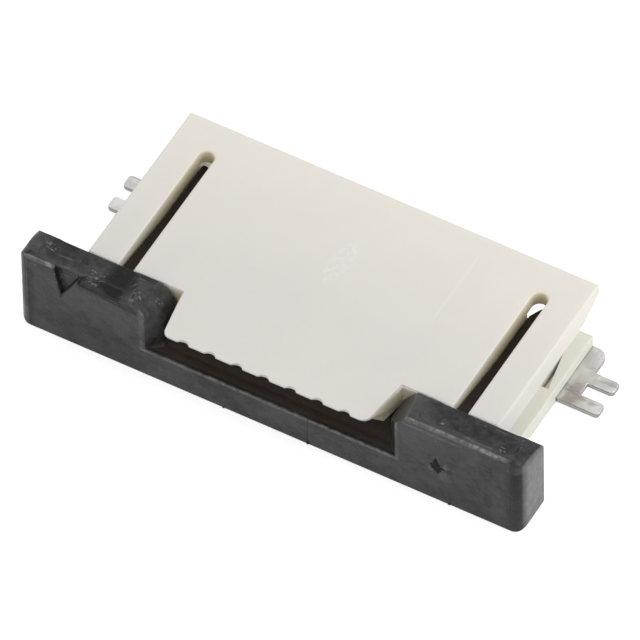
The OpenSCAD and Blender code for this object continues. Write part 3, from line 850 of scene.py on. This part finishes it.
class DressHousing(bpy.types.Operator):
    """Give the housing its rounded edges, ivory finish and painted light and shade"""

    bl_idname = "flexcon.dress_housing"
    bl_label = "Dress housing"

    def execute(self, context):
        settings = context.scene.flexcon_moulding
        dressed_copy(
            "housing", "moulded_housing", "base", housing_material(settings),
            lambda edge: housing_edge_radius(edge, settings.housing_edge),
            settings.housing_edge, settings.edge_segments)
        return {"FINISHED"}


class DressSlider(bpy.types.Operator):
    """Give the slider its rounded edges, black finish and painted light and shade"""

    bl_idname = "flexcon.dress_slider"
    bl_label = "Dress slider"

    def execute(self, context):
        settings = context.scene.flexcon_moulding
        dressed_copy(
            "slider", "moulded_slider", "slider", slider_material(settings),
            lambda edge: slider_edge_radius(edge, settings.slider_edge),
            settings.slider_edge, settings.edge_segments)
        return {"FINISHED"}


class AddMouldMarks(bpy.types.Operator):
    """Add the slider's torn gate and the small flash nubs on its bottom edge"""

    bl_idname = "flexcon.add_mould_marks"
    bl_label = "Add mould marks"

    def execute(self, context):
        black = bpy.data.materials.get("black_moulding")
        if black is None:
            raise RuntimeError("the slider is dressed before its mould marks")
        scar = closed_blob(
            "torn_gate_scar", (GATE_X, SLIDER_LOW.y, GATE_Z), torn_radius, GATE_DEPTHS,
            spokes=120)
        scar.data.materials.append(torn_gate_material())
        marks = [scar]
        for name, x in NUBS:
            nub = closed_blob(
                name, (x * MM, SLIDER_LOW.y, NUB_Z), nub_radius, NUB_DEPTHS,
                rings=8, spokes=24)
            nub.data.materials.append(black)
            marks.append(nub)
        for mark in marks:
            mark.data.shade_smooth()
            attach(mark, "slider")
        return {"FINISHED"}


class DressNails(bpy.types.Operator):
    """Give the two fitting nails stamped edges and matt tin"""

    bl_idname = "flexcon.dress_nails"
    bl_label = "Dress fitting nails"

    def execute(self, context):
        settings = context.scene.flexcon_metal
        for name in NAILS:
            dressed_copy(
                name, "stamped_" + name, "base",
                tin_material(settings, "tinned_nail", "Z"),
                lambda edge: settings.sheet_edge, settings.sheet_edge, settings.edge_segments)
        return {"FINISHED"}


class DressContacts(bpy.types.Operator):
    """Give the row of contacts matt tin"""

    bl_idname = "flexcon.dress_contacts"
    bl_label = "Dress contacts"

    def execute(self, context):
        settings = context.scene.flexcon_metal
        for name in CONTACTS:
            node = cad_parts[name]
            node.data.materials.clear()
            node.data.materials.append(tin_material(settings, "tinned_contact", "X"))
        return {"FINISHED"}


class SetStage(bpy.types.Operator):
    """Set up the camera, the floor, the sky and the lamp"""

    bl_idname = "flexcon.set_stage"
    bl_label = "Set stage"

    def execute(self, context):
        settings = context.scene.flexcon_stage
        place_camera(settings)
        place_floor()
        place_sky(settings)
        place_lamps(settings)
        context.scene.view_settings.view_transform = "Standard"
        return {"FINISHED"}


def place_camera(settings):
    """Camera on a sphere round the aim point, with a very long lens."""
    turn, rise, roll = settings.azimuth, settings.elevation, settings.roll
    back = Vector((
        math.sin(turn) * math.cos(rise), -math.cos(turn) * math.cos(rise), math.sin(rise)))
    right = Vector((math.cos(turn), math.sin(turn), 0))
    up = back.cross(right)
    rolled_right = math.cos(roll) * right + math.sin(roll) * up
    rolled_up = back.cross(rolled_right)
    data = bpy.data.cameras.new("camera")
    sensor = 36
    data.sensor_width = sensor
    data.lens = sensor * settings.distance / settings.view_width
    data.clip_start = 0.05
    data.clip_end = 10
    camera = bpy.data.objects.new("camera", data)
    axes = Matrix((rolled_right, rolled_up, back)).transposed()
    camera.matrix_world = Matrix.Translation(
        Vector(settings.aim) + back * settings.distance) @ axes.to_4x4()
    bpy.context.scene.collection.objects.link(camera)
    bpy.context.scene.camera = camera


def seen_rays(shader):
    """1 for rays that see a surface as a picture: from the camera, a gloss or a glass."""
    path = shader.add("ShaderNodeLightPath").outputs
    seen = shader.plus(
        path["Is Camera Ray"], path["Is Glossy Ray"], path["Is Transmission Ray"])
    return shader.maths("MINIMUM", seen, 1.0)


def place_floor():
    """A wide pale floor just under the part, clear when seen from below."""
    half = 0.5
    level = -0.01 * MM
    mesh = bpy.data.meshes.new("floor")
    mesh.from_pydata(
        [(-half, -half, level), (half, -half, level), (half, half, level), (-half, half, level)],
        [], [(0, 1, 2, 3)])
    floor = bpy.data.objects.new("floor", mesh)
    bpy.context.scene.collection.objects.link(floor)
    material = bpy.data.materials.new("pale_floor")
    material.use_nodes = True
    material.node_tree.nodes.clear()
    shader = Shader(material.node_tree)
    matt = shader.add("ShaderNodeBsdfDiffuse", {"Color": (0.8, 0.8, 0.8)})
    glow = shader.add("ShaderNodeEmission", {"Strength": shader.times(seen_rays(shader), 0.6)})
    both = shader.add("ShaderNodeAddShader")
    under = shader.add(
        "ShaderNodeMixShader",
        {"Fac": shader.add("ShaderNodeNewGeometry").outputs["Backfacing"]})
    clear = shader.add("ShaderNodeBsdfTransparent")
    output = shader.add("ShaderNodeOutputMaterial")
    material.node_tree.links.new(matt.outputs[0], both.inputs[0])
    material.node_tree.links.new(glow.outputs[0], both.inputs[1])
    material.node_tree.links.new(both.outputs[0], under.inputs[1])
    material.node_tree.links.new(clear.outputs[0], under.inputs[2])
    material.node_tree.links.new(under.outputs[0], output.inputs["Surface"])
    mesh.materials.append(material)


def place_sky(settings):
    """A white sky that lights softly and is seen as plain white."""
    world = bpy.data.worlds.new("sky")
    world.use_nodes = True
    world.node_tree.nodes.clear()
    shader = Shader(world.node_tree)
    seen = seen_rays(shader)
    strength = shader.add(
        "ShaderNodeMix", {"Factor": seen, "A": settings.sky, "B": 1.0}, data_type="FLOAT")
    sky = shader.add(
        "ShaderNodeBackground", {"Color": (1.0, 1.0, 1.0), "Strength": strength.outputs[0]})
    output = shader.add("ShaderNodeOutputWorld")
    world.node_tree.links.new(sky.outputs[0], output.inputs["Surface"])
    bpy.context.scene.world = world


def place_lamps(settings):
    """One large soft lamp, high on the right."""
    data = bpy.data.lights.new("key", "AREA")
    data.shape = "DISK"
    data.size = 0.12
    data.energy = settings.key
    lamp = bpy.data.objects.new("key", data)
    spot = Vector((0.12, 0.03, 0.085))
    aim = spot.to_track_quat("Z", "Y").to_matrix().to_4x4()
    lamp.matrix_world = Matrix.Translation(spot) @ aim
    bpy.context.scene.collection.objects.link(lamp)


class ConnectorPanel(bpy.types.Panel):
    """Lists the connector's settings and steps."""

    bl_idname = "FLEXCON_PT_steps"
    bl_label = "Connector"
    bl_space_type = "VIEW_3D"
    bl_region_type = "UI"
    bl_category = "Connector"

    def draw(self, context):
        column = self.layout.column()
        for settings in (context.scene.flexcon_moulding, context.scene.flexcon_metal,
                         context.scene.flexcon_stage):
            for name in settings.__annotations__:
                column.prop(settings, name)
        for step in STEPS:
            column.operator(step.bl_idname)


STEPS = (DressHousing, DressSlider, AddMouldMarks, DressNails, DressContacts, SetStage)
CLASSES = (MouldingSettings, MetalSettings, StageSettings, *STEPS, ConnectorPanel)


def register():
    for cls in CLASSES:
        bpy.utils.register_class(cls)
    bpy.types.Scene.flexcon_moulding = PointerProperty(type=MouldingSettings)
    bpy.types.Scene.flexcon_metal = PointerProperty(type=MetalSettings)
    bpy.types.Scene.flexcon_stage = PointerProperty(type=StageSettings)


def unregister():
    del bpy.types.Scene.flexcon_stage
    del bpy.types.Scene.flexcon_metal
    del bpy.types.Scene.flexcon_moulding
    for cls in reversed(CLASSES):
        bpy.utils.unregister_class(cls)


def main():
    register()
    bpy.ops.flexcon.set_stage()
    bpy.ops.flexcon.dress_housing()
    bpy.ops.flexcon.dress_slider()
    bpy.ops.flexcon.add_mould_marks()
    bpy.ops.flexcon.dress_nails()
    bpy.ops.flexcon.dress_contacts()


if __name__ == "__main__":
    main()
